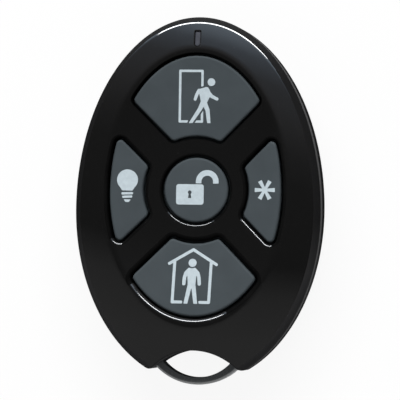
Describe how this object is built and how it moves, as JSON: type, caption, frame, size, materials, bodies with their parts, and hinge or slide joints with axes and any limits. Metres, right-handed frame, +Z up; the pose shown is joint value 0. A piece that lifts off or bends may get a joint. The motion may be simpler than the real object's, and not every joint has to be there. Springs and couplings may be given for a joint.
{
  "type": "alarm key fob",
  "caption": "Egg-shaped alarm key fob: two-shell casing, dished keypad of soft travelling keys, status light and key ring bail, with a coin-cell transmitter board inside.",
  "frame": {"origin": "on the rear face, under the middle of the overall length and width", "axes": "+Z up through the keys, +Y towards the status light end, +X to the right of the keypad"},
  "size_m": [0.0414, 0.0616, 0.0126],
  "materials": {
    "shell_gloss": "polished black moulding",
    "shell_satin": "fine satin black moulding",
    "key_rubber": "soft matte",
    "key_print": "printed ink",
    "bail_plastic": "satin",
    "light_pipe": "clear, smoked",
    "mat_rubber": "soft matte",
    "plunger_plastic": "moulded",
    "chip_plastic": "moulded",
    "board_mask": "solder mask",
    "steel": "bright",
    "ceramic": "fired",
    "contact_gold": "plated",
    "led_lens": "cast resin"
  },
  "bodies": {
    "casing": {"front_shell": "shell_gloss", "rear_shell": "shell_satin", "key_ring_bail": "bail_plastic", "status_light_pipe": "light_pipe", "keypad_mat": "mat_rubber", "switch_bases": "chip_plastic", "switch_covers": "steel", "circuit_board": "board_mask", "status_led": "led_lens", "controller_chip": "chip_plastic", "radio_chip": "chip_plastic", "crystal": "steel", "chip_parts": "ceramic", "coin_cell": "steel", "battery_clip": "steel", "negative_contact": "contact_gold", "case_screws": "steel"},
    "away_button": {"away_key": "key_rubber", "away_plunger": "plunger_plastic"},
    "lights_button": {"lights_key": "key_rubber", "lights_plunger": "plunger_plastic"},
    "disarm_button": {"disarm_key": "key_rubber", "disarm_plunger": "plunger_plastic"},
    "auxiliary_button": {"auxiliary_key": "key_rubber", "auxiliary_plunger": "plunger_plastic"},
    "stay_button": {"stay_key": "key_rubber", "stay_plunger": "plunger_plastic"}
  },
  "joints": [
    {"name": "away_press", "type": "slide", "parent": "casing", "child": "away_button", "axis": [0, 0, -1], "range_m": [0, 0.0005], "stiffness_N_per_m": 2000, "springref_m": -0.0002},
    {"name": "lights_press", "type": "slide", "parent": "casing", "child": "lights_button", "axis": [0, 0, -1], "range_m": [0, 0.0005], "stiffness_N_per_m": 2000, "springref_m": -0.0002},
    {"name": "disarm_press", "type": "slide", "parent": "casing", "child": "disarm_button", "axis": [0, 0, -1], "range_m": [0, 0.0005], "stiffness_N_per_m": 2000, "springref_m": -0.0002},
    {"name": "auxiliary_press", "type": "slide", "parent": "casing", "child": "auxiliary_button", "axis": [0, 0, -1], "range_m": [0, 0.0005], "stiffness_N_per_m": 2000, "springref_m": -0.0002},
    {"name": "stay_press", "type": "slide", "parent": "casing", "child": "stay_button", "axis": [0, 0, -1], "range_m": [0, 0.0005], "stiffness_N_per_m": 2000, "springref_m": -0.0002}
  ]
}
